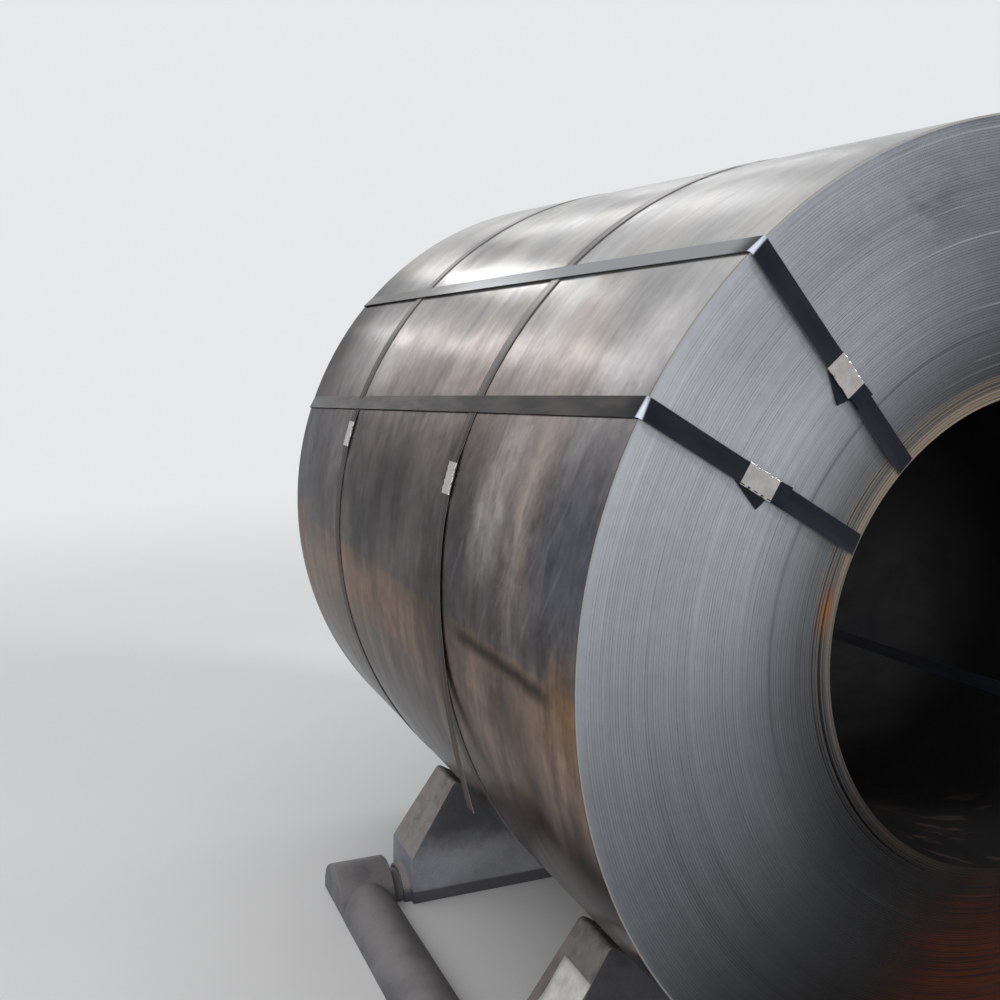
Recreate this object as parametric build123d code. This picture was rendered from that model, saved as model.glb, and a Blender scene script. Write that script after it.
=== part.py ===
from build123d import *
from math import cos, degrees, pi, radians, sin, sqrt, tan
import os

os.makedirs("parts", exist_ok=True)

# Coil of hot rolled steel strip, strapped, lying on four wedge blocks that straddle the bars of a
# low floor rack.  X right, Y along the coil's axis away from the end that faces the viewer, Z up.

# Coil
coil_radius = 788.0
bore_radius = 381.0
coil_width = 1680.0
edge_chamfer = 3.0
rim_band = 16.0
bore_band = 20.0
wrap_gap = 3.0
wrap_gap_depth = 12.0
wrap_ripple = 1.4
wrap_ripple_turn = 2.4

# Straps, all cut from the same flat steel band, and the seals crimped over their ends
strap_width = 32.0
strap_thickness = 1.0
strap_gap = 0.2
seal_length = 57.0
seal_wall = 0.9
seal_fit = 0.1
seal_side_fit = 0.4
seal_back_clearance = 0.6
seal_ramp = 12.0
seal_notch_depth = 4.0
seal_notch_place = 12.0
overlap_before_seal = 6.0
overlap_past_seal = 24.0
loose_tail_radius = 1750.0
loose_tail_length = 355.0

# Places of the belly straps and bars along the axis
front_belly_strap = -275.0
rear_belly_strap = 417.0
front_bar = -431.0
rear_bar = 365.0

# Wedge blocks, each moulded in one piece with a tunnel for the bar.  The coil touches the sloping
# seat along a line, and the seat runs on above and below it.
block_seat_slope = 31.5
seat_above_contact = 160.0
seat_below_contact = 190.0
seat_gap = 0.3
block_top_inset = 112.0
block_end_height = 108.0
block_thickness = 170.0
block_side_slope = 5.1
block_foot_height = 27.0
block_foot_inset = 5.0
block_top_round = 10.0
tunnel_clearance = 1.0
collar_wall = 9.0
collar_reach = 17.0

# Rack of half round bars, flat side down
coil_above_bar = 23.0
bar_radius = 54.0
rail_radius = 64.0
corner_radius = 88.0
block_to_corner = 28.0
cope_gap = 0.3

# Steps between groups of wraps on each end, as shares of the way from the innermost to the outermost
wrap_steps = (0.2, 0.5, 0.81, 0.91)

# Eye straps: angles seen from the near end, anticlockwise from +X, at the near rim, at the near
# bore edge and at the far rim, and each seal's share of the way from the rim to the bore
eye_strap_angles = {
    "upper": (131.7, 133.3, 137.9),
    "lower": (151.3, 153.7, 159.7),
    "right": (326.0, 324.5, 321.0),
}
eye_seal_shares = {"upper": 0.57, "lower": 0.52, "right": 0.55}

# Belly straps: place along the axis, angle of the seal and angle at which a loose end leaves the coil
belly_straps = {"front": (front_belly_strap, 164.0, 182.0), "rear": (rear_belly_strap, 163.0, None)}

half_width = coil_width / 2
strap_inner = coil_radius + strap_gap
strap_outer = strap_inner + strap_thickness
wrap_setback = wrap_ripple + seal_wall + seal_fit + seal_back_clearance
axis_height = bar_radius + coil_above_bar + coil_radius
slope = radians(block_seat_slope)
contact_out = (coil_radius + seat_gap) * sin(slope)
contact_height = axis_height - (coil_radius + seat_gap) * cos(slope)
block_top = contact_out + seat_above_contact * cos(slope)
block_height = contact_height + seat_above_contact * sin(slope)
block_inner_end = contact_out - seat_below_contact * cos(slope)
block_inner_height = contact_height - seat_below_contact * sin(slope)
block_end = block_top + block_top_inset
corner_inner_end = block_end + collar_reach + block_to_corner
rack_half_length = corner_inner_end + 2 * rail_radius


def on_coil(radius, angle, y):
    """Point at a radius and angle round the coil's axis."""
    return Vector(radius * cos(radians(angle)), y, radius * sin(radians(angle)))


# Coil body

def end_corners(phase):
    """Radius and setback of each corner of one end, from the bore out to the rim."""
    first = bore_radius + bore_band + wrap_gap
    last = coil_radius - rim_band
    steps = [first + (last - first) * share for share in wrap_steps]
    corners = [
        (bore_radius, edge_chamfer),
        (bore_radius + edge_chamfer, 0),
        (bore_radius + bore_band, 0),
        (first - wrap_gap / 2, wrap_gap_depth),
    ]
    for group, (inner, outer) in enumerate(zip([first, *steps], [*steps, last])):
        setback = wrap_setback + wrap_ripple * sin(phase + wrap_ripple_turn * group)
        corners += [(inner, setback), (outer, setback)]
    return corners + [(last, 0), (coil_radius - edge_chamfer, 0), (coil_radius, edge_chamfer)]


def coil_body():
    near = [(radius, setback - half_width) for radius, setback in end_corners(0.0)]
    far = [(radius, half_width - setback) for radius, setback in end_corners(1.3)]
    section = make_face(Polyline(*near, *reversed(far), close=True))
    return revolve(section, Axis.Y)


# Straps and seals

def jacket():
    """Skin one strap thick round the coil's whole section, clear of the belly straps outside."""
    inside = bore_radius - strap_gap
    outside = strap_outer + strap_gap
    core = Pos((inside + outside) / 2, 0) * Rectangle(outside - inside, coil_width + 2 * strap_gap)
    core = chamfer(core.vertices(), edge_chamfer)
    return revolve(offset(core, strap_thickness, kind=Kind.INTERSECTION) - core, Axis.Y)


def near_end_plane(near_rim, near_bore, along, height=0.0):
    """Plane on the near end with x inward along the strap, z out of the end."""
    start = on_coil(coil_radius, near_rim, -half_width)
    inward = (on_coil(bore_radius, near_bore, -half_width) - start).normalized()
    origin = start + inward * along + Vector(0, -strap_gap - height, 0)
    return Plane(origin=origin, x_dir=inward, z_dir=(0, -1, 0))


def seal_along(near_rim, near_bore, seal_share):
    """Distance from the near rim to the seal's middle."""
    return seal_share * (on_coil(bore_radius, near_bore, 0) - on_coil(coil_radius, near_rim, 0)).length


def eye_strap(near_rim, near_bore, far_rim, seal_share):
    start = on_coil(coil_radius, near_rim, -half_width)
    inward = on_coil(bore_radius, near_bore, -half_width) - start
    across = on_coil(coil_radius, far_rim, half_width) - start
    blade_plane = Plane(origin=start, x_dir=inward, z_dir=inward.cross(across))
    spare = bore_radius / 2
    blade = Box(coil_radius - bore_radius + spare, coil_width + spare, strap_width)
    loop = jacket() & blade_plane * Pos((coil_radius - bore_radius) / 2, half_width, 0) * blade
    length = overlap_before_seal + seal_length + overlap_past_seal
    middle = seal_along(near_rim, near_bore, seal_share) + (overlap_past_seal - overlap_before_seal) / 2
    lap = Box(length, strap_width, strap_thickness, align=(Align.CENTER, Align.CENTER, Align.MIN))
    return loop + near_end_plane(near_rim, near_bore, middle, strap_thickness) * lap


def seal():
    """Crimped sleeve round two layers of strap, whose inner side lies at z = 0, x along the strap."""
    inner_width = strap_width + 2 * seal_side_fit
    inner_height = 2 * strap_thickness + strap_gap + 2 * seal_fit
    middle = inner_height / 2 - seal_fit
    outer = Rectangle(inner_width + 2 * seal_wall, inner_height + 2 * seal_wall)
    ring = outer - Rectangle(inner_width, inner_height)
    body = extrude(Plane.YZ * Pos(0, middle) * ring, seal_length / 2, both=True)
    nick = Rot(0, 0, 45) * Box(seal_notch_depth * sqrt(2), seal_notch_depth * sqrt(2), 2 * inner_height)
    for place in (-seal_notch_place, seal_notch_place):
        for side in (-1, 1):
            body -= Pos(place, side * (inner_width / 2 + seal_wall), middle) * nick
    return body


def eye_seal(near_rim, near_bore, seal_share):
    return near_end_plane(near_rim, near_bore, seal_along(near_rim, near_bore, seal_share)) * seal()


def on_circle(radius, angle):
    """Point of the belly strap's outline at an angle in radians past the seal's middle."""
    return radius * cos(angle), radius * sin(angle)


def over_seal(radius):
    """Corners of a layer that rises over the seal's inner wall, runs flat and comes down again."""
    flat = seal_length / 2
    foot = (flat + seal_ramp) / coil_radius
    top = radius + seal_wall + seal_fit
    return [on_circle(radius, -foot), (top, -flat), (top, flat), on_circle(radius, foot)]


def belly_strap_side(lift, seal_angle, leaves):
    """One side of the strap: under the seal, once round the coil, over its own start and on."""
    inner = strap_inner + lift
    outer = inner + strap_thickness + strap_gap
    foot = (seal_length / 2 + seal_ramp) / coil_radius
    step_up = -foot - seal_ramp / coil_radius
    if leaves:
        lap_end = radians(leaves - seal_angle)
    else:
        lap_end = (seal_length / 2 + overlap_past_seal) / coil_radius
    start = Polyline(*over_seal(inner))
    loop = ThreePointArc(start @ 1, on_circle(inner, pi), on_circle(inner, step_up))
    lap = Polyline(loop @ 1, *over_seal(outer))
    end = ThreePointArc(lap @ 1, on_circle(outer, (foot + lap_end) / 2), on_circle(outer, lap_end))
    if not leaves:
        return [start, loop, lap, end]
    sweep = degrees(loose_tail_length / loose_tail_radius)
    return [start, loop, lap, end, JernArc(end @ 1, end % 1, loose_tail_radius + lift, sweep)]


def belly_strap(place, seal_angle, leaves):
    inner_side = belly_strap_side(0, seal_angle, leaves)
    outer_side = belly_strap_side(strap_thickness, seal_angle, leaves)
    ends = [Line(inner_side[0] @ 0, outer_side[0] @ 0), Line(inner_side[-1] @ 1, outer_side[-1] @ 1)]
    section = Rot(0, 0, seal_angle) * make_face(inner_side + outer_side + ends)
    return Pos(0, place, 0) * extrude(Plane.XZ * section, strap_width / 2, both=True)


def belly_seal(place, seal_angle, leaves):
    seat = on_coil(strap_inner + seal_wall + seal_fit, seal_angle, place)
    outward = on_coil(1, seal_angle, 0)
    return Plane(origin=seat, x_dir=outward.cross(Vector(0, 1, 0)), z_dir=outward) * seal()


# Blocks and rack

def half_round(radius):
    """Half disc on the ground line."""
    return Circle(radius) & Rectangle(2 * radius, radius, align=(Align.CENTER, Align.MIN))


def bar_along_x(radius, start, end, y):
    section = Plane.YZ * half_round(radius)
    return Pos(start, y, 0) * extrude(section, end - start)


def strap_nip(y):
    """Distance that a block stands further out where a belly strap is nipped between it and the coil."""
    reach = (block_thickness + strap_width) / 2
    nipped = any(abs(place - y) < reach for place in (front_belly_strap, rear_belly_strap))
    return (strap_outer - coil_radius) / sin(slope) if nipped else 0.0


def saddle_block(y):
    """Left hand block: side view and end view, each drawn out and kept where both agree."""
    side_view = Polygon(
        (-block_end, 0),
        (-block_end, block_end_height),
        (-block_top, block_height),
        (-block_inner_end, block_inner_height),
        (-block_inner_end, 0),
        align=None,
    )
    wedge = extrude(Plane.XZ * side_view, block_thickness, both=True)
    wedge = fillet(wedge.edges().group_by(Axis.Z)[-1], block_top_round)
    top_half = block_thickness / 2 - block_height * tan(radians(block_side_slope))
    bottom_half = block_thickness / 2
    step_half = bottom_half - block_foot_height * tan(radians(block_side_slope))
    end_view = Polygon(
        (-bottom_half + block_foot_inset, 0),
        (-bottom_half + block_foot_inset, block_foot_height),
        (-step_half, block_foot_height),
        (-top_half, block_height),
        (top_half, block_height),
        (step_half, block_foot_height),
        (bottom_half - block_foot_inset, block_foot_height),
        (bottom_half - block_foot_inset, 0),
        align=None,
    )
    block = wedge & extrude(Plane.YZ * end_view, block_end, both=True)
    tunnel = bar_radius + tunnel_clearance
    collar = bar_along_x(tunnel + collar_wall, -block_end - collar_reach, -block_end, 0)
    block = block + collar - bar_along_x(tunnel, -2 * block_end, 0, 0)
    return Pos(-strap_nip(y), y, 0) * block


def side_rail():
    """Left hand rail between the two corners, coped to their round sides."""
    length = rear_bar - front_bar
    centre = -corner_inner_end - rail_radius
    rail = Pos(centre, (front_bar + rear_bar) / 2, 0) * extrude(
        Plane.XZ * half_round(rail_radius), length / 2, both=True
    )
    for y in (front_bar, rear_bar):
        rail -= bar_along_x(corner_radius + cope_gap, -2 * rack_half_length, 0, y)
    return rail


def corner(y):
    """Left hand corner, which caps the rail's end and takes the cross bar."""
    return bar_along_x(corner_radius, -rack_half_length, -corner_inner_end, y)


def right_hand(shape):
    return mirror(shape, Plane.YZ)


# Every piece, by name

def on_coil_height(shape):
    return Pos(0, 0, axis_height) * shape


nodes = {"coil": on_coil_height(coil_body())}
for name, (near_rim, near_bore, far_rim) in eye_strap_angles.items():
    share = eye_seal_shares[name]
    nodes[f"eye_strap_{name}"] = on_coil_height(eye_strap(near_rim, near_bore, far_rim, share))
    nodes[f"eye_seal_{name}"] = on_coil_height(eye_seal(near_rim, near_bore, share))
for name, strap in belly_straps.items():
    nodes[f"belly_strap_{name}"] = on_coil_height(belly_strap(*strap))
    nodes[f"belly_seal_{name}"] = on_coil_height(belly_seal(*strap))
for name, y in (("front", front_bar), ("rear", rear_bar)):
    nodes[f"cross_bar_{name}"] = bar_along_x(bar_radius, -corner_inner_end, corner_inner_end, y)
    for side in ("left", "right"):
        as_side = right_hand if side == "right" else (lambda shape: shape)
        nodes[f"saddle_block_{name}_{side}"] = as_side(saddle_block(y))
        nodes[f"rack_corner_{name}_{side}"] = as_side(corner(y))
nodes["side_rail_left"] = side_rail()
nodes["side_rail_right"] = right_hand(side_rail())

for node, shape in nodes.items():
    export_step(shape, f"parts/{node}.step")
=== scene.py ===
from math import cos, degrees, pi, radians, sin

import bmesh
import bpy
from mathutils import Matrix, Vector


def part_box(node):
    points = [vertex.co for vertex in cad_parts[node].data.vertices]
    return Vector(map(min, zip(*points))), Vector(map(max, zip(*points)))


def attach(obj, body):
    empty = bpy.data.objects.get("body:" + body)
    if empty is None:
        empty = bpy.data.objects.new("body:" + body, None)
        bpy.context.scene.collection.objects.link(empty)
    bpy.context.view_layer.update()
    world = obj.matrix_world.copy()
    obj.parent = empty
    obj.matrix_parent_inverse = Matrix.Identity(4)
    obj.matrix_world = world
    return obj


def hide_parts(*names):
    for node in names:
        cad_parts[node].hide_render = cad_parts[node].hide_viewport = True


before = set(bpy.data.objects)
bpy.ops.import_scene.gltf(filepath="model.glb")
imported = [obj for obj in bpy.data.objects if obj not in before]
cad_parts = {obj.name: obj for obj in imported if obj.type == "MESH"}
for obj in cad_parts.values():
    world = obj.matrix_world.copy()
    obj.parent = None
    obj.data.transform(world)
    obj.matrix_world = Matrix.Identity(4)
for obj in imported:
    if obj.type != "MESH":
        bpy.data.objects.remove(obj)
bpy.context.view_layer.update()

# The coil lies along Y.  Its size and the height of its axis come from the solid, and a point on it
# is given by radius, angle in degrees from +X towards the top, and place along the axis, in metres.

coil_low, coil_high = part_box("coil")
AXIS = Vector((0, 0, (coil_low.z + coil_high.z) / 2))
RIM = (coil_high.z - coil_low.z) / 2
HALF = (coil_high.y - coil_low.y) / 2
BORE = 0.381


def on_coil(radius, angle, y):
    return AXIS + Vector((radius * cos(radians(angle)), y, radius * sin(radians(angle))))


class Wire:
    """One output of a node, so that the maths of a node tree reads as plain expressions."""

    def __init__(self, tree, socket=None):
        self.tree = tree
        self.socket = socket

    def node(self, kind, settings=None, sockets=None, output=0):
        """New node: its settings first, then the values or wires of its sockets."""
        made = self.tree.nodes.new(kind)
        for name, value in (settings or {}).items():
            if name == "stops":
                ramp = made.color_ramp.elements
                ramp.remove(ramp[0])
                ramp[0].position = value[0][0]
                ramp[0].color = (*value[0][1], 1.0)
                for position, colour in value[1:]:
                    ramp.new(position).color = (*colour, 1.0)
            else:
                setattr(made, name, value)
        for name, value in (sockets or {}).items():
            if isinstance(value, Wire):
                self.tree.links.new(value.socket, made.inputs[name])
            else:
                made.inputs[name].default_value = value
        return Wire(self.tree, made.outputs[output])

    def other(self, output):
        """Another output of the same node."""
        return Wire(self.tree, self.socket.node.outputs[output])

    def maths(self, operation, *values):
        return self.node("ShaderNodeMath", {"operation": operation}, dict(enumerate(values)))

    def __add__(self, value):
        return self.maths("ADD", self, value)

    def __sub__(self, value):
        return self.maths("SUBTRACT", self, value)

    def __mul__(self, value):
        return self.maths("MULTIPLY", self, value)

    def __truediv__(self, value):
        return self.maths("DIVIDE", self, value)

    def __rsub__(self, value):
        return self.maths("SUBTRACT", value, self)

    def __neg__(self):
        return self.maths("MULTIPLY", self, -1.0)

    __radd__ = __add__
    __rmul__ = __mul__

    def size(self):
        return self.maths("ABSOLUTE", self)

    def step(self, low, high, to_low=0.0, to_high=1.0):
        """Smooth change from one value to another as this one goes from low to high."""
        sockets = {"Value": self, "From Min": low, "From Max": high, "To Min": to_low, "To Max": to_high}
        return self.node("ShaderNodeMapRange", {"interpolation_type": "SMOOTHSTEP"}, sockets)

    def bump_at(self, place, reach):
        """One at a place, falling smoothly to nothing at a distance from it."""
        return (self - place).size().step(0.0, reach, 1.0, 0.0)

    def vector(self, x, y, z):
        return self.node("ShaderNodeCombineXYZ", None, {0: x, 1: y, 2: z})

    def parts(self):
        """The x, y and z of a vector."""
        x = self.node("ShaderNodeSeparateXYZ", None, {0: self})
        return x, x.other(1), x.other(2)

    def noise(self, vector, scale=1.0, detail=3.0, roughness=0.55):
        """Cloudy value about one half."""
        sockets = {"Vector": vector, "Scale": scale, "Detail": detail, "Roughness": roughness}
        return self.node("ShaderNodeTexNoise", None, sockets)

    def mix(self, share, first, second, blend="MIX"):
        """Second colour over the first."""
        first, second = [(*c, 1.0) if isinstance(c, tuple) else c for c in (first, second)]
        settings = {"data_type": "RGBA", "blend_type": blend}
        return self.node("ShaderNodeMix", settings, {0: share, 6: first, 7: second}, 2)

    def ramp(self, *stops):
        """Colour read from a row of stops."""
        return self.node("ShaderNodeValToRGB", {"stops": stops}, {0: self})

    def tinted(self, factor):
        """Colour times another colour or a number."""
        return self.mix(1.0, self, factor, "MULTIPLY")


def surface(name, paint, metallic=0.0, specular=0.5, edge_tint=1.0):
    """Material whose paint function gives colour, roughness and bump height from its wires."""
    material = bpy.data.materials.new(name)
    material.use_nodes = True
    tree = material.node_tree
    shader = tree.nodes["Principled BSDF"]
    shader.inputs["Metallic"].default_value = metallic
    shader.inputs["Specular IOR Level"].default_value = specular
    shader.inputs["Specular Tint"].default_value = (edge_tint, edge_tint, edge_tint, 1.0)
    start = Wire(tree)
    place = start.node("ShaderNodeTexCoord", output="Object")
    colour, roughness, height, depth = paint(start, place)
    bump = start.node("ShaderNodeBump", None, {"Height": height, "Distance": depth})
    tree.links.new(colour.socket, shader.inputs["Base Color"])
    tree.links.new(roughness.socket, shader.inputs["Roughness"])
    tree.links.new(bump.socket, shader.inputs["Normal"])
    return material


# Camera at the photograph's place, and a plain studio: a pale floor that runs out into a pale
# surround, and soft lamps.

camera_place = Vector((-1.438, -2.196, 1.365))
camera_lens = 42.69
camera_sensor = 36.0
yaw, pitch, roll = radians(21.9), radians(8.97), radians(0.23)
backdrop = (0.80, 0.81, 0.82)
sky_light = (0.55, 0.563, 0.585)
floor_size = 60.0
floor_depth = 0.0005
haze_start, haze_full = 2.4, 7.0
ceiling = 5.0


def placed(name, data):
    """New object in the scene, at the origin."""
    made = bpy.data.objects.new(name, data)
    bpy.context.scene.collection.objects.link(made)
    return made


camera_data = bpy.data.cameras.new("camera")
camera_data.lens = camera_lens
camera_data.sensor_width = camera_sensor
camera = placed("camera", camera_data)
look = Vector((sin(yaw) * cos(pitch), cos(yaw) * cos(pitch), -sin(pitch)))
level = Vector((cos(yaw), -sin(yaw), 0))
down = look.cross(level)
right = cos(roll) * level + sin(roll) * down
turn = Matrix((right, -(cos(roll) * down - sin(roll) * level), -look)).transposed()
camera.matrix_world = Matrix.Translation(camera_place) @ turn.to_4x4()
bpy.context.scene.camera = camera
bpy.context.scene.view_settings.view_transform = "Standard"

floor_mesh = bpy.data.meshes.new("floor")
corners = ((-1, -1), (1, -1), (1, 1), (-1, 1))
floor_points = [(x * floor_size, y * floor_size, -floor_depth) for x, y in corners]
floor_mesh.from_pydata(floor_points, [], [(0, 1, 2, 3)])
floor = placed("floor", floor_mesh)


def floor_paint(start, place):
    """Smooth pale concrete, hardly clouded."""
    cloud = start.noise(place, 1.5, 4.0)
    colour = start.mix(cloud, (0.66, 0.66, 0.655), (0.72, 0.72, 0.71))
    return colour, cloud.step(0, 1, 0.7, 0.8), cloud, 0.0002


def seen(start):
    """One for the rays that should meet the pale surround: straight, mirrored or through glass."""
    rays = start.node("ShaderNodeLightPath", output="Is Camera Ray")
    mirrored = start.maths("MAXIMUM", rays.other("Is Glossy Ray"), rays.other("Is Transmission Ray"))
    return start.maths("MAXIMUM", rays, mirrored)


pale_floor = surface("pale floor", floor_paint)
floor_mesh.materials.append(pale_floor)
start = Wire(pale_floor.node_tree)
nodes, links = pale_floor.node_tree.nodes, pale_floor.node_tree.links
from_origin = start.node("ShaderNodeTexCoord", output="Object")
away = start.node("ShaderNodeVectorMath", {"operation": "LENGTH"}, {0: from_origin}, 1)
haze = start.node("ShaderNodeEmission", None, {"Color": (*backdrop, 1.0)})
hazy = away.step(haze_start, haze_full) * seen(start)
blended = start.node("ShaderNodeMixShader", None, {0: hazy, 2: haze})
links.new(nodes["Principled BSDF"].outputs[0], blended.socket.node.inputs[1])
links.new(blended.socket, nodes["Material Output"].inputs["Surface"])

world = bpy.data.worlds.new("studio")
bpy.context.scene.world = world
world.use_nodes = True
sky = Wire(world.node_tree)
background = world.node_tree.nodes["Background"]
sky_colour = sky.mix(seen(sky), sky_light, backdrop)
world.node_tree.links.new(sky_colour.socket, background.inputs[0])


def lamp(name, place, aim, size, power, mirrored=True):
    """Soft rectangle of light, hidden from the camera and, if asked, from mirrored rays too."""
    data = bpy.data.lights.new(name, "AREA")
    data.shape = "RECTANGLE"
    data.size, data.size_y = size
    data.energy = power
    made = placed(name, data)
    made.location = place
    made.rotation_euler = (Vector(aim) - Vector(place)).to_track_quat("-Z", "Y").to_euler()
    made.visible_camera = False
    made.visible_glossy = mirrored


lamp("overhead", (-1.0, 0.2, 5.2), (0, 0, 0.8), (6.0, 8.0), 100, mirrored=False)
lamp("left", (-4.0, -4.2, 2.6), (0, -0.3, 0.7), (4.0, 3.0), 90)
lamp("right", (4.2, -3.2, 3.8), (0, -0.8, 0.9), (0.9, 0.9), 190)
for name, x, y, size, power in (
    ("first", 2.2, 8.2, (0.9, 5.5), 26),
    ("second", -0.2, 8.8, (0.6, 3.0), 32),
    ("third", -2.5, 10.8, (0.6, 7.0), 23),
    ("fourth", 5.0, 9.4, (0.5, 4.5), 22),
):
    lamp("long " + name, (x, y, ceiling), (x, y, 0.0), size, power)


# Coil.  About a hundred turns of hot rolled strip, wound tight: on each end every turn shows as a
# narrow edge, set back a little more or less than its neighbours.  The innermost turns have sprung
# clear of the rest on the left, and the strip's tail lies as a lip along the right side.

wrap = 0.00407
turns = round((RIM - BORE) / wrap)
segments = 144
loose_turns = 5
loose_gap = 0.004
loose_angle = 195.0
tail_angle = 12.0
wall_columns = 24
edge_setback = 0.0030
setback_sway = 0.0030
outer_setback = 0.0015
edge_jitter = 0.0002
gap_depth = 0.0005
wall_slack = 0.0016


def new_tree(name, takes_mesh, **inputs):
    """Empty tree of geometry nodes with named inputs, and those inputs as wires."""
    tree = bpy.data.node_groups.new(name, "GeometryNodeTree")
    tree.interface.new_socket("Geometry", in_out="OUTPUT", socket_type="NodeSocketGeometry")
    if takes_mesh:
        tree.interface.new_socket("Geometry", in_out="INPUT", socket_type="NodeSocketGeometry")
    for label, kind in inputs.items():
        tree.interface.new_socket(label, in_out="INPUT", socket_type=f"NodeSocket{kind}")
    group = tree.nodes.new("NodeGroupInput")
    wires = {socket.name: Wire(tree, socket) for socket in group.outputs if socket.name}
    return tree, Wire(tree), wires


def close_tree(tree, geometry):
    """Ends a tree with its real mesh."""
    mesh = geometry.node("GeometryNodeRealizeInstances", None, {0: geometry})
    tree.links.new(mesh.socket, tree.nodes.new("NodeGroupOutput").inputs[0])


def applied(piece):
    """Mesh that an object's modifiers make, in place of the object."""
    depsgraph = bpy.context.evaluated_depsgraph_get()
    mesh = bpy.data.meshes.new_from_object(piece.evaluated_get(depsgraph), depsgraph=depsgraph)
    bpy.data.objects.remove(piece)
    return mesh


def reworked(mesh, change):
    """Hands a mesh in its editable form to a function that changes it."""
    shape = bmesh.new()
    shape.from_mesh(mesh)
    change(shape)
    shape.to_mesh(mesh)
    shape.free()


def grown(tree, start_mesh=None, **inputs):
    """Mesh that a tree of geometry nodes makes, with the tree's named inputs set."""
    seed = placed("seed", start_mesh or bpy.data.meshes.new("seed"))
    modifier = seed.modifiers.new("grow", "NODES")
    modifier.node_group = tree
    for item in tree.interface.items_tree:
        if item.in_out == "INPUT" and item.name in inputs:
            modifier[item.identifier] = inputs[item.name]
    return applied(seed)


def finished(name, mesh, materials, slot, *nodes):
    """Puts a piece in the scene, riding on the one body, in place of any solids it stands for."""
    piece = placed(name, mesh)
    if materials is not None:
        mesh.materials.clear()
        for material in materials:
            mesh.materials.append(material)
    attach(piece, "root")
    if nodes:
        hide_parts(*nodes)


coil_tree, start, given = new_tree(
    "wound strip", False, Rim="Float", Bore="Float", Half="Float", Height="Float", Wrap="Float",
    Turns="Int", Segments="Int", Edge="Material", Skin="Material", Eye="Material",
)


def sheet(columns, place, material, smooth, flip):
    """Grid bent to its place round the coil: column number, and share of the way round."""
    grid = start.node(
        "GeometryNodeMeshGrid", None,
        {"Size X": 1.0, "Size Y": 1.0, "Vertices X": columns + 1, "Vertices Y": given["Segments"] + 1},
    )
    x, y, _ = start.node("GeometryNodeInputPosition").parts()
    column = start.maths("ROUND", (x + 0.5) * columns)
    share = y + 0.5
    angle = share * (2 * pi) + radians(tail_angle)
    across, up = start.maths("COSINE", angle), start.maths("SINE", angle)
    radius, y = place(column, share, across, up)
    at = start.vector(radius * across, y, radius * up + given["Height"])
    bent = start.node("GeometryNodeSetPosition", None, {"Geometry": grid, "Position": at})
    bent = start.node("GeometryNodeSetShadeSmooth", None, {0: bent, "Shade Smooth": smooth})
    if flip:
        bent = start.node("GeometryNodeFlipFaces", None, {0: bent})
    return start.node("GeometryNodeSetMaterial", None, {0: bent, "Material": material})


def crescent(share):
    """Width of the gap outside the innermost turns, widest on the left."""
    return (share * 360 + tail_angle - loose_angle).size().step(8.0, 52.0, loose_gap, 0.0)


def tail_dip(share):
    """Thickness that the outermost turn has lost where the tail ends over it."""
    return share.step(0.93, 1.0) * given["Wrap"]


def end_face(side, seed):
    """Place on one end: three columns a turn, its edge between two narrow gaps."""
    def place(column, share, across, up):
        turn = start.maths("FLOOR", column / 3)
        part = column - turn * 3
        gap = start.maths("LESS_THAN", part, 0.5)
        chance = start.node("ShaderNodeTexWhiteNoise", {"noise_dimensions": "1D"}, {"W": turn + seed})
        opening = chance.step(0.8, 1.0, 0.04, 0.12)
        way = start.maths("COMPARE", part, 1.0, 0.1) * opening
        way = way + start.maths("COMPARE", part, 2.0, 0.1) * (1 - opening) + turn
        inner = start.maths("LESS_THAN", turn, loose_turns - 0.5)
        radius = given["Bore"] + given["Wrap"] * way - inner * crescent(share) * way / loose_turns
        radius = radius - tail_dip(share) * (way - (turns - 1)).step(0, 1)
        slow = start.noise(start.vector(turn * 0.11 + seed, across * 1.3, up * 1.3), 1.0, 2.0)
        dish = start.maths("MINIMUM", turn.step(3, 8), turn.step(turns - 5, turns, 1.0, 0.0))
        sway = (slow - 0.5) * setback_sway
        setback = (edge_setback + sway + turn.step(10, 45, outer_setback, 0.0)) * dish
        not_first, not_last = turn.step(0, 1), turn.step(turns - 2, turns, 1.0, 0.0)
        setback = setback + (chance - 0.5) * edge_jitter * not_first * not_last
        setback = setback + gap * not_first * turn.step(turns - 1, turns, 1.0, 0.0) * gap_depth
        setback = start.maths("MAXIMUM", setback, 0.0)
        sprung = start.maths("COMPARE", turn, float(loose_turns), 0.1) * gap * crescent(share)
        return radius, side * (given["Half"] - setback - sprung * 3.0)
    return place


def outer_wall(column, share, across, up):
    """Place on the outermost turn, which is a little slack between its edges."""
    along = column / wall_columns
    sway = start.noise(start.vector(along * 2.2, across * 1.6, up * 1.6), 1.0, 2.0)
    slack = sway * start.maths("SINE", along * pi) * wall_slack
    return given["Rim"] - slack - tail_dip(share), (along * 2 - 1) * given["Half"]


def bore_wall(column, share, across, up):
    return given["Bore"], (column / wall_columns * 2 - 1) * given["Half"]


near = sheet(3 * turns, end_face(-1.0, 3.0), given["Edge"], False, True)
far = sheet(3 * turns, end_face(1.0, 47.0), given["Edge"], False, False)
skin = sheet(wall_columns, outer_wall, given["Skin"], True, True)
eye = sheet(wall_columns, bore_wall, given["Eye"], True, False)
joined = start.node("GeometryNodeJoinGeometry")
for part in (eye, skin, far, near):
    coil_tree.links.new(part.socket, joined.socket.node.inputs[0])
close_tree(coil_tree, start.node("GeometryNodeMergeByDistance", None, {0: joined, "Distance": 0.00002}))


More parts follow.
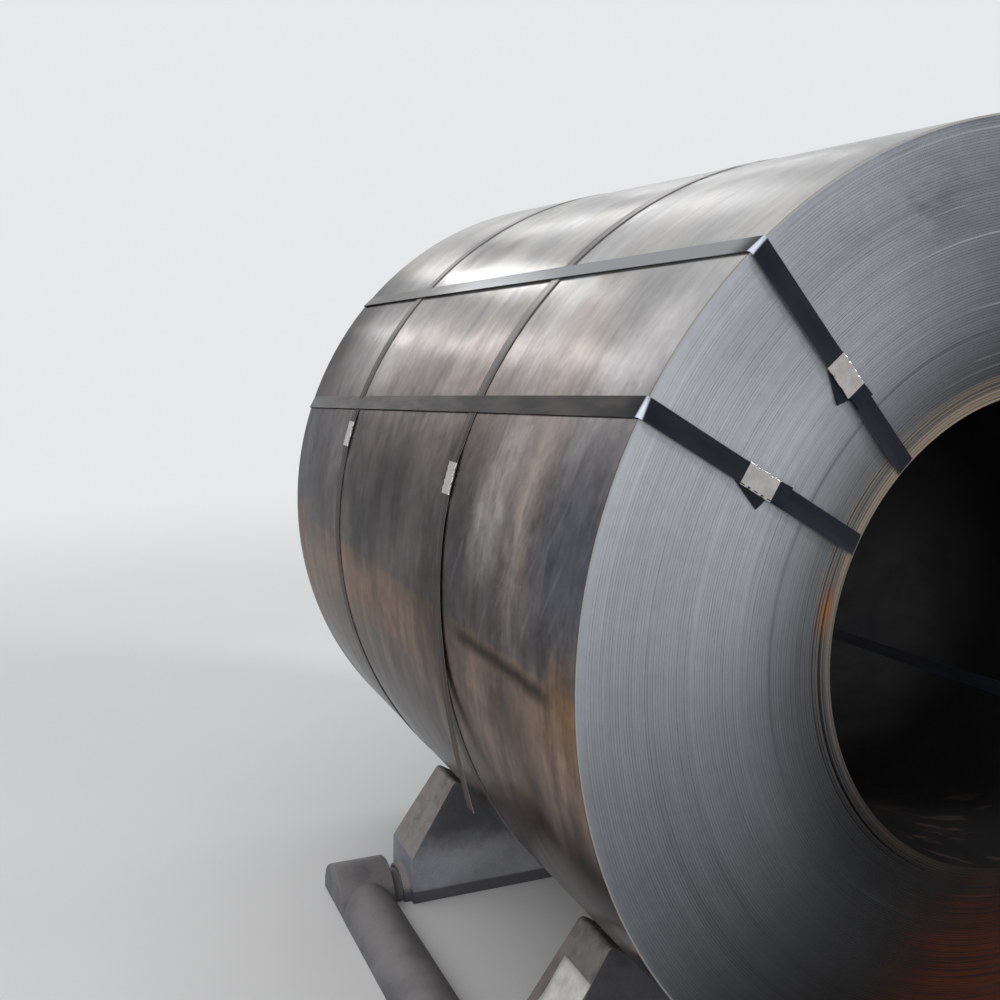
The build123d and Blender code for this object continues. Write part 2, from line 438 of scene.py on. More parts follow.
def coil_place(start, place):
    """Radius, angle in degrees from the top towards the left, and x, y and z from the axis."""
    x, y, height = place.parts()
    z = height - AXIS.z
    radius = start.maths("SQRT", x * x + z * z)
    return radius, start.maths("ARCTAN2", -x, z) * degrees(1), x, y, z


def edge_paint(start, place):
    """Sheared edges with ring brush marks, and a painted sheen that makes them bright on one diagonal
    and dark on the other; painted shade towards the bore and low on the near end, a dark orange
    patch beside it, a painted highlight along the rim, and beige that is partly painted highlight
    and a rusty spot on the turns near the bore."""
    radius, past, x, y, z = coil_place(start, place)
    near_end = start.maths("LESS_THAN", y, 0.0)
    wander = start.noise(start.vector(x * 2.2, y, z * 2.2), 1.0, 1.0) * 0.010
    ring = start.noise(start.vector((radius + wander) * 270, x * 0.9, z * 0.9), 1.0, 3.0, 0.6)
    band = start.noise(start.vector((radius + wander) * 30, x * 1.5, z * 1.5), 1.0, 3.0)
    scored = start.noise(start.vector((radius + wander) * 110, x * 0.8, z * 0.8 + 5), 1.0, 2.0)
    cloud = start.noise(start.vector(x * 4, y * 3, z * 4), 1.0, 4.0)
    fine = start.noise(start.vector(x * 60, y * 9, z * 60), 1.0, 4.0, 0.7)
    groups = radius.bump_at(0.703, 0.012) + radius.bump_at(0.679, 0.008)
    groups = groups + radius.bump_at(0.482, 0.022) + radius.bump_at(0.436, 0.022)
    # Painted sheen: bright on one diagonal and dark on the other, as ring brush marks catch the light.
    painted_sheen = ((x * x - z * z) * 0.53 - x * z * 1.70) / (radius * radius)
    colour = (painted_sheen * 0.5 + 0.5 + (cloud - 0.5) * 0.16).ramp(
        (0.0, (0.044, 0.046, 0.049)), (0.12, (0.056, 0.059, 0.064)), (0.28, (0.09, 0.095, 0.103)),
        (0.48, (0.140, 0.148, 0.162)), (0.62, (0.172, 0.181, 0.197)), (0.81, (0.240, 0.252, 0.272)),
        (0.94, (0.305, 0.318, 0.340)), (1.0, (0.345, 0.357, 0.378)),
    )
    # Painted shade towards the bore, and a little painted light near the rim.
    towards_bore = radius.step(BORE, BORE + 0.2, 0.26, 0.97)
    colour = colour.tinted(towards_bore * radius.step(RIM - 0.1, RIM, 1.0, 1.13))
    colour = colour.tinted(ring.step(0.25, 0.75, 0.92, 1.08) * band.step(0.3, 0.7, 0.96, 1.04))
    colour = colour.tinted(fine.step(0.25, 0.75, 0.95, 1.05))
    dark_line = scored.step(0.42, 0.34) * groups * 0.4 + scored.step(0.33, 0.29) * 0.1
    colour = start.mix(dark_line, colour, (0.05, 0.052, 0.055))
    smear = start.noise(start.vector(x * 5, y, z * 13), 1.0, 5.0, 0.65).step(0.46, 0.56)
    smear = smear * past.bump_at(20, 17) * radius.bump_at(0.69, 0.09)
    colour = start.mix(smear * near_end * 0.55, colour, (0.08, 0.085, 0.095))
    # Beige on the turns near the bore, strongest towards the top: partly the turns' colour, partly a
    # painted highlight on their lit edges.
    beige = start.noise(start.vector(radius * 330, x * 1.5, z * 1.5), 1.0, 2.0).step(0.35, 0.6)
    beige = beige * radius.step(BORE + 0.05, BORE + 0.008)
    beige = beige * (past.size() / 180).step(0.72, 0.3, 0.1, 0.8)
    colour = start.mix(beige, colour, (0.26, 0.20, 0.145))
    spot = past.bump_at(79, 8) * radius.bump_at(BORE + 0.017, 0.016) * near_end
    colour = start.mix(spot * ring.step(0.3, 0.6, 0.5, 1), colour, (0.24, 0.105, 0.04))
    # Painted shade low on the near end, nearly black towards the lower right.
    low = (x * 0.6 - z + 0.06 + (cloud - 0.5) * 0.2).step(0.0, 0.52) * near_end
    colour = start.mix(low * 0.97, colour, (0.005, 0.0045, 0.004))
    # Dark orange patch low on the near end, streaked along the turns.
    from_orange_patch = start.maths("SQRT", (x + 0.05) * (x + 0.05) + (z + 0.57) * (z + 0.57))
    orange_patch = (from_orange_patch + (cloud - 0.5) * 0.3 + (band - 0.5) * 0.08).step(0.24, 0.05) * near_end
    streak = start.noise(start.vector(radius * 160, x * 2.0, z * 2.0), 1.0, 3.0, 0.6)
    colour = start.mix(orange_patch * streak.step(0.25, 0.6) * 0.95, colour, (0.048, 0.0095, 0.002))
    # Painted highlight along the rim's edge.
    colour = start.mix(radius.step(RIM - 0.004, RIM - 0.0015) * 0.5, colour, (0.36, 0.33, 0.30))
    return colour, cloud.step(0.2, 0.8, 0.42, 0.55), ring, 0.00012


def skin_paint(start, place):
    """Mill scale with a painted reflection that makes it silver over the top and dark down the
    sides, smoky brown and blue black there; brown again from the middle down, clouded in patches
    with faint drawn lines round the coil."""
    past, x, y, z = coil_place(start, place)[1:]
    patch = start.noise(start.vector(x * 3.2, y * 4.2, z * 3.2), 1.0, 5.0, 0.6)
    wisp = start.noise(start.vector(x * 9 + y * 3, y * 9, z * 9), 1.0, 5.0, 0.65)
    drawn = start.noise(start.vector(x * 2.5, y * 80, z * 2.5), 1.0, 3.0, 0.6)
    slant = start.noise(start.vector(y * 70 + z * 38, x * 6, z * 9), 1.0, 2.0, 0.5)
    hue = start.noise(start.vector(x * 1.9 + 7, y * 3.4, z * 1.9), 1.0, 3.0)
    swell = start.noise(start.vector(x * 2.6, y * 3.2 + 3, z * 2.6), 1.0, 1.0)
    sway = (patch - 0.5) * 26
    high = past.size()
    # Painted reflection by height round the coil: silver over the top, dark down the sides.
    colour = ((high + sway * 0.3) / 180).ramp(
        (0.0, (0.84, 0.82, 0.79)), (0.17, (0.86, 0.84, 0.81)), (0.22, (0.72, 0.70, 0.675)),
        (0.26, (0.56, 0.545, 0.53)), (0.30, (0.60, 0.56, 0.54)), (0.33, (0.48, 0.435, 0.42)),
        (0.36, (0.32, 0.285, 0.273)), (0.39, (0.19, 0.168, 0.163)), (0.42, (0.12, 0.108, 0.106)),
        (0.455, (0.095, 0.085, 0.084)), (0.50, (0.125, 0.108, 0.10)),
    )
    below = ((high + sway * 0.2) / 180).ramp(
        (0.5, (0.19, 0.132, 0.098)), (0.55, (0.26, 0.185, 0.142)), (0.60, (0.20, 0.155, 0.132)),
        (0.68, (0.14, 0.118, 0.110)), (1.0, (0.10, 0.088, 0.082)),
    )
    on_right = x.step(0.0, 0.4)
    line = high + (wisp - 0.5) * 1.6 + (hue - 0.5) * on_right * 26
    colour = start.mix(line.step(90.2, on_right * 9 + 91.4), colour, below)
    stain = start.noise(start.vector(x * 3.5, y * 13, z * 3.5), 1.0, 6.0, 0.66)
    speck = start.noise(start.vector(x * 30, y * 30, z * 30), 1.0, 4.0, 0.7)
    strong = high.step(40, 80, 0.25, 1.0)
    clouded = patch.step(0.28, 0.72, -0.4, 0.36) + wisp.step(0.3, 0.7, -0.16, 0.16)
    colour = colour.tinted(1 + strong * clouded)
    colour = start.mix(hue.step(0.45, 0.62) * strong * 0.5, colour, colour.tinted((0.84, 0.94, 1.10)))
    colour = start.mix(hue.step(0.46, 0.32) * strong * 0.5, colour, colour.tinted((1.16, 0.97, 0.84)))

    def mark(at, past_top, reach, reach_past):
        """Soft edged place along the coil and down its left side."""
        along = (y + (wisp - 0.5) * 0.12).bump_at(at, reach)
        return along * (past + sway * 0.5).bump_at(past_top, reach_past)

    # Among these marks the pale pinkish one at 57 degrees past the top is a painted reflection, and the
    # pale grey one at 34 degrees dims the painted reflection on the top.
    for at, past_top, reach, reach_past, share, tint in (
        (-0.77, 78, 0.15, 17, 0.85, (0.085, 0.092, 0.115)),
        (-0.60, 71, 0.08, 24, 0.8, (0.42, 0.35, 0.31)),
        (-0.47, 72, 0.10, 18, 0.85, (0.46, 0.42, 0.40)),
        (0.35, 34, 0.36, 9, 0.55, (0.50, 0.485, 0.47)),
        (0.82, 56, 0.30, 30, 0.93, (0.060, 0.056, 0.055)),
        (0.36, 57, 0.20, 13, 0.85, (0.80, 0.75, 0.72)),
        (-0.55, 99, 0.14, 9, 0.8, (0.065, 0.057, 0.052)),
        (-0.30, 70, 0.20, 8, 0.5, (0.09, 0.08, 0.078)),
        (-0.345, 82, 0.06, 17, 0.7, (0.07, 0.066, 0.07)),
        (0.06, 80, 0.26, 13, 0.85, (0.07, 0.063, 0.061)),
        (0.50, 76, 0.11, 14, 0.6, (0.27, 0.25, 0.24)),
        (0.76, 78, 0.13, 18, 0.6, (0.19, 0.19, 0.215)),
        (-0.80, 94, 0.08, 7, 0.72, (0.34, 0.20, 0.10)),
        (-0.78, 112, 0.10, 10, 0.7, (0.055, 0.053, 0.06)),
        (-0.43, 89, 0.12, 7, 0.55, (0.085, 0.075, 0.072)),
        (0.25, 97, 0.60, 8, 0.65, (0.34, 0.205, 0.13)),
        (0.80, 100, 0.20, 16, 0.7, (0.34, 0.215, 0.14)),
    ):
        colour = start.mix(mark(at, past_top, reach, reach_past) * share, colour, tint)
    stained = stain.step(0.48, 0.60, 0.12, -0.18) + speck.step(0.35, 0.65, -0.14, 0.12)
    colour = colour.tinted(1 + strong * stained)
    scuff = (past + (wisp - 0.5) * 2.0).bump_at(92.3, 1.7) * y.bump_at(-0.56, 0.28).step(0.0, 0.5)
    colour = start.mix(scuff * 0.85, colour, (0.030, 0.026, 0.024))
    scratched = slant.step(0.60, 0.68) * y.bump_at(-0.55, 0.4) * past.bump_at(80, 45)
    colour = start.mix(scratched * 0.2, colour, (0.40, 0.35, 0.32))
    dragged = start.noise(start.vector(x * 3, y * 30 + z * 5, z * 3), 1.0, 4.0, 0.65)
    colour = colour.tinted(1 + high.step(86, 104) * dragged.step(0.3, 0.7, -0.24, 0.24))
    colour = colour.tinted(drawn.step(0.3, 0.7, 0.95, 1.05))
    colour = start.mix((y.size() - HALF).step(-0.006, -0.001) * 0.5, colour, (0.10, 0.085, 0.075))
    return colour, patch.step(0.3, 0.7, 0.14, 0.26), swell + wisp * 0.012, 0.0022


def eye_paint(start, place):
    """Inside of the bore: near black scale, with painted shade near both ends and over the top and
    painted light deep inside, brown dust along the bottom.
    """
    past, x, y, z = coil_place(start, place)[1:]
    patch = start.noise(start.vector(x * 4, y * 3, z * 4), 1.0, 5.0, 0.6)
    streak = start.noise(start.vector(x * 12, y * 26 + x * 14, z * 12), 1.0, 4.0, 0.6)
    colour = start.mix(patch.step(0.4, 0.65), (0.026, 0.026, 0.028), (0.044, 0.043, 0.042))
    # Painted light and shade: paler deep inside and low down, darker near both ends and over the top.
    colour = colour.tinted(y.size().step(0.42, 0.0, 0.22, 2.6) * past.size().step(70, 115, 0.5, 1.2))
    dusty = (past.size() + (patch - 0.5) * 60).step(150, 172) * streak.step(0.55, 0.66)
    colour = start.mix(dusty * y.size().step(0.52, 0.80, 0.05, 0.55), colour, (0.075, 0.056, 0.044))
    return colour, patch.step(0.2, 0.8, 0.6, 0.8), patch, 0.0005


coil_mesh = grown(
    coil_tree, Rim=RIM, Bore=BORE, Half=HALF, Height=AXIS.z, Wrap=(RIM - BORE) / turns, Turns=turns,
    Segments=segments, Edge=surface("strip edges", edge_paint, metallic=0.6, specular=0.06),
    Skin=surface("mill scale", skin_paint, metallic=0.9, specular=0.2, edge_tint=0.5),
    Eye=surface("scale in the bore", eye_paint, specular=0.03),
)


def fill_step(shape):
    """Closes the step that the strip's tail leaves at the rim."""
    open_edges = [edge for edge in shape.edges if edge.is_boundary]
    at_tail = [edge for edge in open_edges if (edge.verts[0].co - AXIS).xz.length > RIM - 2 * wrap]
    bmesh.ops.holes_fill(shape, edges=at_tail, sides=0)


reworked(coil_mesh, fill_step)
coil_mesh.set_sharp_from_angle(angle=radians(40))
finished("coil_of_strip", coil_mesh, None, "hot_rolled_strip", "coil")


# Straps.  Flat steel bands, 32 mm wide and 1 mm thick, blackened and waxed.  Each is one length that
# goes once round and laps over its own start, where the seal grips both layers.

strap_width = 0.032
strap_thickness = 0.001
strap_gap = 0.0002
strap_layer = strap_thickness + strap_gap
end_past_seal = 0.024
seal_length = 0.057
seal_wall = 0.0009
seal_slack = 0.0001

band_tree, start, given = new_tree("strap", True, Width="Float", Thickness="Float", Steel="Material")
line = start.node("GeometryNodeMeshToCurve", None, {0: given["Geometry"]})
facing = start.node("GeometryNodeInputNamedAttribute", {"data_type": "FLOAT_VECTOR"}, {"Name": "across"})
line = start.node("GeometryNodeSetCurveNormal", {"mode": "FREE"}, {"Curve": line, "Normal": facing})
far_along = start.node("GeometryNodeSplineParameter", output="Length")


def stored(geometry, name, value):
    """Curve that keeps a value at each of its points under a name."""
    settings = {"data_type": "FLOAT", "domain": "POINT"}
    sockets = {"Geometry": geometry, "Name": name, "Value": value}
    return start.node("GeometryNodeStoreNamedAttribute", settings, sockets)


line = stored(line, "along strap", far_along)
section_size = {"Width": given["Width"], "Height": given["Thickness"]}
section = start.node("GeometryNodeCurvePrimitiveQuadrilateral", None, section_size)
section_x = start.node("GeometryNodeInputPosition").parts()[0]
section = stored(section, "across strap", section_x * 2 / given["Width"])
swept = {"Curve": line, "Profile Curve": section, "Fill Caps": True}
band = start.node("GeometryNodeCurveToMesh", None, swept)
close_tree(band_tree, start.node("GeometryNodeSetMaterial", None, {0: band, "Material": given["Steel"]}))


def strap_place(start):
    """Place across a strap, from -1 to 1, and length along it in metres."""
    names = ("across strap", "along strap")
    return [start.node("ShaderNodeAttribute", {"attribute_name": name}, output="Fac") for name in names]


def strap_paint(start, place):
    """Black wax over the steel, drawn lines along it, bright worn edges, brown grey on the side that
    is partly dust and partly painted reflection, a painted highlight on the upper strap's side,
    and bends at the rims that are partly worn bright and partly painted highlight.
    """
    radius, past, _, y, _ = coil_place(start, place)
    across, along = strap_place(start)
    lines = start.noise(start.vector(across * 9, along * 1.2, 0.0), 1.0, 4.0, 0.7)
    cloud = start.noise(start.vector(across * 0.8, along * 9, 4.0), 1.0, 4.0)
    worn = across.size().step(0.95, 1.0) * cloud.step(0.4, 0.6)
    colour = start.mix(cloud.step(0.35, 0.7), (0.010, 0.012, 0.018), (0.018, 0.020, 0.026))
    # On the side, brown grey that is partly dust and partly painted reflection, darker towards the near
    # end.
    on_side = radius.step(RIM - 0.001, RIM + 0.0002) * (HALF - y.size()).step(0.004, 0.06)
    dusty = start.mix(cloud.step(0.35, 0.65), (0.050, 0.048, 0.048), (0.115, 0.103, 0.095))
    dusty = dusty.tinted(y.step(0.1, -0.4, 1.0, 0.6))
    # Painted highlight along the upper strap's side.
    painted_highlight = past.size().step(56, 50) * y.step(0.30, 0.12)
    dusty = start.mix(painted_highlight * 0.85, dusty, (0.34, 0.35, 0.37))
    colour = start.mix(on_side, colour, dusty)
    colour = start.mix(lines.step(0.62, 0.8) * 0.2, colour, (0.16, 0.145, 0.135))
    colour = start.mix(worn * 0.35, colour, (0.20, 0.20, 0.21))
    # Bends at the rims, bluish white: partly worn bright, partly painted highlight.
    from_rim = start.maths("MAXIMUM", RIM + 0.003 - radius, 0.0)
    from_end = start.maths("MAXIMUM", HALF + 0.002 - y.size(), 0.0)
    bend = (from_rim + from_end).step(0.009, 0.0045)
    colour = start.mix(bend, colour, (0.72, 0.76, 0.86))
    in_bore = radius.step(BORE + 0.004, BORE)
    return colour, lines.step(0.3, 0.7, 0.13, 0.22) + in_bore * 0.4, lines, 0.00003


def brown_and_reflection_paint(start, place):
    """Strap coloured like the coil by a painted reflection: light over the top and brown grey down the
    side, glossy, with a painted shadow along its edges and a painted highlight on the edges themselves.
    """
    across, along = strap_place(start)
    past = coil_place(start, place)[1]
    lines = start.noise(start.vector(across * 7, along * 0.9, 2.0), 1.0, 4.0, 0.7)
    cloud = start.noise(start.vector(across * 0.5, along * 5, 9.0), 1.0, 4.0)
    # Painted reflection by height round the coil, light over the top and darker down the side.
    colour = (past.size() / 180).ramp(
        (0.1, (0.62, 0.60, 0.58)), (0.25, (0.42, 0.40, 0.39)), (0.36, (0.17, 0.155, 0.15)),
        (0.42, (0.10, 0.09, 0.09)), (0.6, (0.12, 0.095, 0.08)),
    )
    colour = colour.tinted(cloud.step(0.3, 0.7, 0.7, 1.3) * lines.step(0.3, 0.7, 0.8, 1.2))
    # Painted shadow along the edges, deeper down the side.
    shaded = across.size().step(0.72, 0.9) * past.size().step(30, 70, 0.25, 0.6)
    colour = start.mix(shaded, colour, (0.02, 0.02, 0.022))
    # Painted highlight on the edges themselves.
    colour = start.mix(across.size().step(0.95, 1.0) * 0.7, colour, (0.42, 0.41, 0.40))
    return colour, lines.step(0.3, 0.7, 0.20, 0.32), lines, 0.00004


black_strap = surface("black strapping", strap_paint, metallic=0.5, specular=0.3, edge_tint=0.5)
brown_and_reflection_strap = surface("brown strapping with painted reflection", brown_and_reflection_paint, metallic=0.8, specular=0.2, edge_tint=0.4)


def strap(name, points, across, steel, *nodes):
    """Strap whose middle line runs through the points, with its width along the across vectors."""
    path = bpy.data.meshes.new(name + " path")
    path.from_pydata(points, [(i, i + 1) for i in range(len(points) - 1)], [])
    facing = path.attributes.new("across", "FLOAT_VECTOR", "POINT")
    for i, direction in enumerate(across):
        facing.data[i].vector = direction
    mesh = grown(band_tree, path, Width=strap_width, Thickness=strap_thickness, Steel=steel)
    mesh.shade_smooth()
    mesh.set_sharp_from_angle(angle=radians(50))
    finished(name, mesh, None, "steel_strapping", *nodes)


def rounded(before, corner, after, reach=0.0055, steps=8):
    """Points of a smooth bend in place of a corner."""
    first = corner + (before - corner).normalized() * reach
    last = corner + (after - corner).normalized() * reach
    bend = []
    for i in range(steps + 1):
        t = i / steps
        bend.append(first * (1 - t) ** 2 + corner * 2 * t * (1 - t) + last * t * t)
    return bend


def pulled(place, radius):
    """Point moved straight in or out to a radius from the coil's axis."""
    from_axis = Vector((place.x, 0, place.z - AXIS.z))
    return place + (from_axis.normalized() * radius - from_axis)


# Eye straps.  Each runs from its seal on the near end over the rim, along the side a little askew,
# over the far rim and back through the bore.  A short offcut of strap lies skew under each seal.

side_steps = 12
bore_steps = 8
offcut_length = 0.06
offcut_skew = 20.0


def eye_strap(name, near_rim, near_bore, far_rim, seal_share, offcut_place):
    out = Vector((0, -1, 0))
    face = -HALF - strap_gap - strap_thickness / 2
    outside = RIM + 2 * strap_gap + 1.5 * strap_thickness
    inside = BORE - strap_gap - strap_thickness / 2
    start = on_coil(outside, near_rim, face)
    end = on_coil(inside, near_bore, face)
    far_start = on_coil(outside, far_rim, -face)
    inward = (end - start).normalized()
    across = inward.cross(far_start - start).normalized()
    offset = Vector((far_start.x, 0, far_start.z - AXIS.z))
    toward = -offset.dot(inward)
    reach = toward - (toward * toward - offset.length_squared + inside * inside) ** 0.5
    far_end = far_start + inward * reach
    from_rim = (on_coil(RIM, near_rim, 0) - on_coil(BORE, near_bore, 0)).length * seal_share
    middle = start + inward * from_rim
    side = out.cross(inward)

    def along_face(distance, height, skew=0.0):
        """Point past the seal's middle, off the end's face and to one side."""
        return middle + inward * distance + out * height + side * skew

    # The strap's cut end stands off the face a little and lies a little askew.
    half_seal = seal_length / 2
    tip = half_seal + end_past_seal
    points = [
        along_face(tip, 0.0016, tip * 0.05),
        along_face(half_seal + 0.006, 0.0014, half_seal * 0.05),
        along_face(half_seal, strap_layer, half_seal * 0.03),
        along_face(-half_seal, strap_layer),
        along_face(-half_seal - 0.014, 0.0004),
        along_face(-half_seal - 0.03, 0.0),
    ]
    points += rounded(points[-1], start, far_start)
    points += [pulled(start.lerp(far_start, i / side_steps), outside) for i in range(1, side_steps)]
    points += rounded(points[-1], far_start, far_end)
    points += rounded(far_start, far_end, end)
    points += [pulled(far_end.lerp(end, i / bore_steps), inside) for i in range(1, bore_steps)]
    points += rounded(points[-1], end, middle)
    points += [along_face(half_seal + 0.03, 0.0), along_face(-half_seal - 0.006, 0.0)]
    strap("eye_strap_" + name, points, [across] * len(points), black_strap, "eye_strap_" + name)

    skew = radians(offcut_skew)
    shift, way = offcut_place
    offcut_line = inward * cos(skew) + side * sin(skew) * way
    centre = along_face(shift, -0.0022, 0.0097 * way)
    offcut = [centre + offcut_line * (i / 3 - 0.5) * offcut_length for i in range(4)]
    strap("offcut_under_seal_" + name, offcut, [offcut_line.cross(out)] * 4, black_strap)
    return middle, inward, out


eye_places = {}
for name, angles in {
    "upper": (131.7, 133.3, 137.9, 0.57, (0.003, -1)),
    "lower": (151.3, 153.7, 159.7, 0.52, (-0.006, -1)),
    "right": (326.0, 324.5, 321.0, 0.55, (0.0, 1)),
}.items():
    eye_places["eye_seal_" + name] = eye_strap(name, *angles)


# Belly straps.  They go round the coil under the eye straps.  The front one's end was never cut
# short: it runs on past the seal, wanders towards the near end and stands off in a long loose tail.

tail_leaves = 182.0
tail_bend = 1.75
tail_length = 0.355
tail_drift = 0.065
tail_steps = 20
round_steps = 150


def belly_strap(name, place, seal_angle, leaves=None):
    rise = strap_gap + strap_thickness / 2
    lifted = seal_wall + seal_slack
    half_seal = degrees(seal_length / 2 / RIM)
    ramp = degrees(0.012 / RIM)
    flat = RIM * (1 / cos(radians(half_seal)) - 1)

    def at(angle, layer, drift=0.0):
        """Point past the seal by an angle: flat over the seal's inner wall, then down on the coil."""
        near = abs(angle)
        if near <= half_seal:
            height = lifted + RIM * (1 / cos(radians(near)) - 1)
        else:
            height = (lifted + flat) * max(0.0, 1 - (near - half_seal) / ramp)
        return on_coil(RIM + rise + layer + height, seal_angle + angle, place - drift)

    # Once round the coil from under the seal, and then up over the strap's own start.
    loop = [-half_seal - ramp * 0.6, -half_seal, 0, half_seal, half_seal + ramp]
    rest = 360 - 2 * half_seal - 3.2 * ramp
    loop += [half_seal + ramp + i * rest / round_steps for i in range(1, round_steps + 1)]
    points = [at(angle, 0.0) for angle in loop]
    across = [Vector((0, 1, 0))] * len(points)
    last = leaves - seal_angle if leaves else half_seal + degrees(end_past_seal / RIM)
    steps = 16 if leaves else 2
    over = [-half_seal - ramp, -half_seal, 0, half_seal, half_seal + ramp]
    over += [half_seal + ramp + i * (last - half_seal - ramp) / steps for i in range(1, steps + 1)]
    for angle in over:
        past = radians(max(0.0, angle - half_seal)) * RIM if leaves else 0.0
        points.append(at(angle, strap_layer, past * tail_drift))
        across.append(Vector((0, 1, 0)))
    if leaves:
        heading = radians(leaves + 90)
        stride = tail_length / tail_steps
        for i in range(tail_steps):
            heading += stride / tail_bend
            points.append(points[-1] + Vector((cos(heading), -tail_drift, sin(heading))) * stride)
            across.append(Vector((0, 1, 0)))
    strap("belly_strap_" + name, points, across, brown_and_reflection_strap, "belly_strap_" + name)
    outward = (on_coil(1, seal_angle, 0) - AXIS).normalized()
    seat = on_coil(RIM + rise + seal_wall + seal_slack, seal_angle, place)
    return seat, outward.cross(Vector((0, 1, 0))), outward


belly_places = {
    "belly_seal_front": belly_strap("front", -0.275, 164.0, tail_leaves),
    "belly_seal_rear": belly_strap("rear", 0.417, 163.0),
}


# Seals.  Short sleeves of bright galvanised sheet, folded round both layers of strap and crimped
# twice on each edge, which leaves the edges nipped in and wavy.

seal_half_width = strap_width / 2 + 0.0004 + seal_wall
seal_low = -strap_thickness / 2 - seal_slack - seal_wall
seal_high = strap_thickness / 2 + strap_layer + seal_slack + seal_wall
seal_steps = 32
crimps = (-0.0125, 0.0125)
pinch_depth, pinch_reach = 0.0009, 0.0042
wave_depth, wave_reach = 0.0034, 0.0095
wave_rate = 520


def seal_paint(start, place):
    """Zinc: pale grey, softly clouded, a few fine scratches."""
    cloud = start.noise(place, 60.0, 3.0)
    fine = start.noise(place, 700.0, 2.0)
    colour = start.mix(cloud.step(0.3, 0.7), (0.37, 0.352, 0.342), (0.47, 0.45, 0.44))
    return colour, fine.step(0.2, 0.8, 0.20, 0.26), cloud, 0.0002


zinc = surface("galvanised sheet", seal_paint, metallic=0.9)


def seal_loop(x, shrink):
    """Outline of the sleeve at a station: rounded flat band, pinched and waved by the crimps."""
    pinch = sum(max(0.0, 1 - ((x - jaw) / pinch_reach) ** 2) for jaw in crimps)
    wave = sum(cos((x - jaw) * wave_rate) * max(0.0, 1 - abs(x - jaw) / wave_reach) for jaw in crimps)
    half_width = seal_half_width - pinch_depth * pinch - shrink
    low, high = seal_low + shrink, seal_high - shrink
    middle = (low + high) / 2
    upper = [1.0, 0.985, 0.94, 0.82, 0.62, 0.35, 0.0]
    rise = [0.0, 0.62, 0.92, 1.0, 1.0, 1.0, 1.0]
    quarter = list(zip(upper, rise))
    top = [(-u, r) for u, r in quarter] + [(u, r) for u, r in quarter[-2::-1]]
    bottom = [(u, -r) for u, r in quarter[1:]] + [(-u, -r) for u, r in quarter[-2:0:-1]]
    loop = []
    for u, r in top + bottom:
        bent = max(-seal_slack, -wave_depth * wave) * abs(u) ** 5
        height = middle + r * (high - middle if r > 0 else middle - low)
        loop.append((x, u * half_width, height + (bent if r >= 0 else 0.0)))
    return loop


def crimped_seal(name, middle, along, outward):
    """Sleeve of an outer and an inner skin, joined round its two open ends."""
    side = outward.cross(along).normalized()
    stations = [(i / seal_steps - 0.5) * seal_length for i in range(seal_steps + 1)]
    skins = [[seal_loop(x, shrink) for x in stations] for shrink in (0.0, seal_wall)]
    count = len(skins[0][0])
    flat = [point for skin in skins for loop in skin for point in loop]
    faces = []
    for skin in (0, 1):
        for i in range(seal_steps):
            a = (skin * (seal_steps + 1) + i) * count
            for j in range(count):
                k = (j + 1) % count
                quad = (a + j, a + count + j, a + count + k, a + k)
                faces.append(quad if skin else quad[::-1])
    for i, flip in ((0, False), (seal_steps, True)):
        a, b = i * count, (seal_steps + 1 + i) * count
        for j in range(count):
            k = (j + 1) % count
            quad = (a + j, a + k, b + k, b + j)
            faces.append(quad[::-1] if flip else quad)
    mesh = bpy.data.meshes.new(name)
    mesh.from_pydata([middle + along * x + side * y + outward * z for x, y, z in flat], [], faces)
    reworked(mesh, lambda shell: bmesh.ops.recalc_face_normals(shell, faces=shell.faces))
    mesh.shade_smooth()
    mesh.set_sharp_from_angle(angle=radians(55))
    finished(name + "_crimped", mesh, [zinc], "galvanised_seal", name)


for name, (middle, along, outward) in {**eye_places, **belly_places}.items():
    crimped_seal(name, middle, along, outward)


# Blocks.  Each is one moulding of hard slate coloured rubber that straddles the bar, its slanted
# outer face grey with dust.  The front left one carries a blank square of paper.

def join_facets(shape):
    """Joins the facets of a flat face, so that only real edges are left to be rounded."""
    bmesh.ops.remove_doubles(shape, verts=shape.verts, dist=0.00001)
    bmesh.ops.dissolve_limit(
        shape, angle_limit=radians(0.5), verts=shape.verts, edges=shape.edges,
        use_dissolve_boundaries=False,
    )


def softened(node, width, material, slot):
    """Copy of a solid with rounded edges."""
    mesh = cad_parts[node].data.copy()
    reworked(mesh, join_facets)
    piece = placed(node, mesh)
    bevel = piece.modifiers.new("edges", "BEVEL")
    bevel.width = width
    bevel.segments = 3
    bevel.limit_method = "ANGLE"
    bevel.angle_limit = radians(28)
    made = applied(piece)
    made.shade_smooth()
    made.set_sharp_from_angle(angle=radians(40))
    finished(node + "_softened", made, [material], slot, node)


def facing_up(start):
    """One on a surface that looks straight up, nothing on an upright one."""
    return start.node("ShaderNodeNewGeometry", output="Normal").parts()[2]


